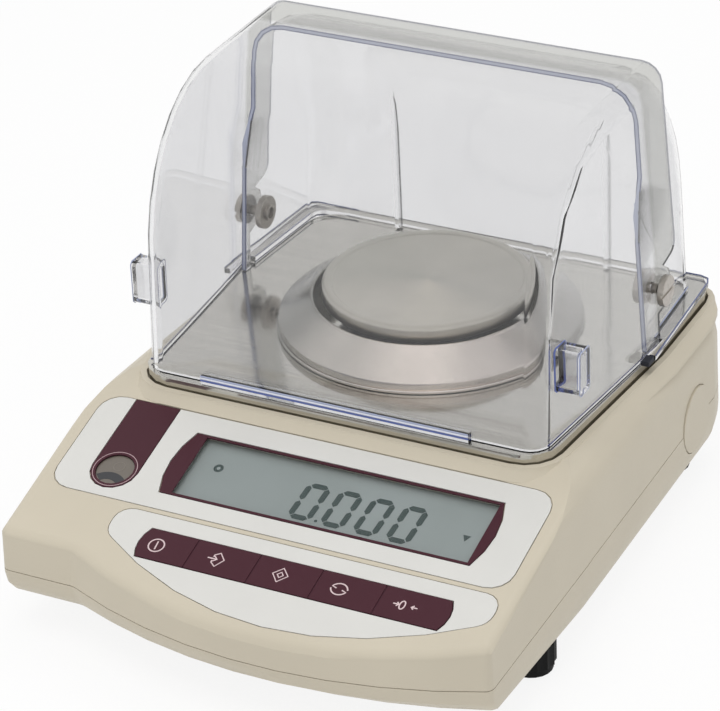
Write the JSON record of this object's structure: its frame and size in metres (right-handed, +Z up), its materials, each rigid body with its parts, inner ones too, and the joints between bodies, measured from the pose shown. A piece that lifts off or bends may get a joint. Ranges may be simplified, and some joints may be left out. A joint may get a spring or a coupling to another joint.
{
  "type": "jewellery scale",
  "caption": "Carat balance with a round pan in a draught ring, a hinged clear windshield over a fixed clear hood, a sloping display and key panel, a bubble level and screw feet",
  "frame": {"origin": "middle of the bounding box in plan, at the level that the feet stand on", "axes": "+Z up, +Y from the key panel to the rear, +X to the right of a person who faces the panel"},
  "size_m": [0.186, 0.2354, 0.1663],
  "materials": {
    "case_plastic": "satin moulded plastic, warm beige",
    "foot_plastic": "black moulded plastic, ribbed rim",
    "dark_plastic": "black moulded plastic",
    "panel_film": "off-white printed film",
    "maroon_film": "dark maroon printed film",
    "clear_plastic": "clear polished acrylic",
    "lcd_glass": "grey-green reflective display",
    "circuit_board": "green circuit board",
    "polished_steel": "mirror-polished stainless steel",
    "satin_steel": "satin stainless steel",
    "screw_steel": "plated steel",
    "cast_aluminium": "cast and machined aluminium",
    "spring_brass": "thin spring alloy",
    "ribbon_plastic": "grey ribbon cable",
    "socket_metal": "plated metal shell",
    "pad_rubber": "black soft rubber"
  },
  "bodies": {
    "case": {"upper_case": "case_plastic", "lower_case": "case_plastic", "side_cap_left": "case_plastic", "side_cap_right": "case_plastic", "case_screw_1": "screw_steel", "case_screw_2": "screw_steel", "case_screw_3": "screw_steel", "case_screw_4": "screw_steel", "display_overlay": "panel_film", "display_bezel": "maroon_film", "display_lens": "clear_plastic", "lcd_module": "lcd_glass", "display_board": "circuit_board", "level_strip": "maroon_film", "level_cup": "dark_plastic", "level_vial": "clear_plastic", "key_overlay": "panel_film", "key_board": "circuit_board", "deck_plate": "polished_steel", "pan_seat": "cast_aluminium", "load_shaft": "screw_steel", "base_frame": "cast_aluminium", "cell_body": "cast_aluminium", "load_lever": "cast_aluminium", "lever_flexure": "spring_brass", "tuning_fork": "spring_brass", "overload_stop": "screw_steel", "frame_screw_1": "screw_steel", "frame_screw_2": "screw_steel", "frame_screw_3": "screw_steel", "frame_screw_4": "screw_steel", "main_board": "circuit_board", "display_ribbon": "ribbon_plastic", "rear_plate": "dark_plastic", "power_jack": "dark_plastic", "serial_socket": "socket_metal", "windshield_hood": "clear_plastic", "rest_pad": "pad_rubber", "pivot_screw_left": "screw_steel", "pivot_screw_right": "screw_steel", "pivot_nut_left": "screw_steel", "pivot_nut_right": "screw_steel"},
    "lid": {"windshield_lid": "clear_plastic"},
    "pan": {"weighing_pan": "satin_steel"},
    "ring": {"wind_ring": "satin_steel"},
    "on_off_key": {"key_on_off": "maroon_film"},
    "memory_key": {"key_memory": "maroon_film"},
    "set_key": {"key_set": "maroon_film"},
    "function_key": {"key_function": "maroon_film"},
    "zero_key": {"key_zero": "maroon_film"},
    "front_left_foot": {"foot_front_left": "foot_plastic"},
    "front_right_foot": {"foot_front_right": "foot_plastic"},
    "rear_left_foot": {"foot_rear_left": "foot_plastic"},
    "rear_right_foot": {"foot_rear_right": "foot_plastic"}
  },
  "joints": [
    {"name": "lid_hinge", "type": "hinge", "parent": "case", "child": "lid", "pos_m": [0, 0.0625, 0.0875], "axis": [-1, 0, 0], "range_deg": [0, 88]},
    {"name": "pan_lift", "type": "slide", "parent": "case", "child": "pan", "axis": [0, 0, 1], "range_m": [0, 0.03]},
    {"name": "ring_lift", "type": "slide", "parent": "case", "child": "ring", "axis": [0, 0, 1], "range_m": [0, 0.03]},
    {"name": "on_off_press", "type": "slide", "parent": "case", "child": "on_off_key", "axis": [0, 0.2756, -0.9613], "range_m": [0, 0.0005], "stiffness_N_per_m": 800},
    {"name": "memory_press", "type": "slide", "parent": "case", "child": "memory_key", "axis": [0, 0.2756, -0.9613], "range_m": [0, 0.0005], "stiffness_N_per_m": 800},
    {"name": "set_press", "type": "slide", "parent": "case", "child": "set_key", "axis": [0, 0.2756, -0.9613], "range_m": [0, 0.0005], "stiffness_N_per_m": 800},
    {"name": "function_press", "type": "slide", "parent": "case", "child": "function_key", "axis": [0, 0.2756, -0.9613], "range_m": [0, 0.0005], "stiffness_N_per_m": 800},
    {"name": "zero_press", "type": "slide", "parent": "case", "child": "zero_key", "axis": [0, 0.2756, -0.9613], "range_m": [0, 0.0005], "stiffness_N_per_m": 800},
    {"name": "front_left_foot_turn", "type": "hinge", "parent": "case", "child": "front_left_foot", "pos_m": [-0.0817, -0.0487, 0], "axis": [0, 0, 1], "continuous": true},
    {"name": "front_right_foot_turn", "type": "hinge", "parent": "case", "child": "front_right_foot", "pos_m": [0.0817, -0.0487, 0], "axis": [0, 0, 1], "continuous": true},
    {"name": "rear_left_foot_turn", "type": "hinge", "parent": "case", "child": "rear_left_foot", "pos_m": [-0.0734, 0.0908, 0], "axis": [0, 0, 1], "continuous": true},
    {"name": "rear_right_foot_turn", "type": "hinge", "parent": "case", "child": "rear_right_foot", "pos_m": [0.0734, 0.0908, 0], "axis": [0, 0, 1], "continuous": true}
  ]
}
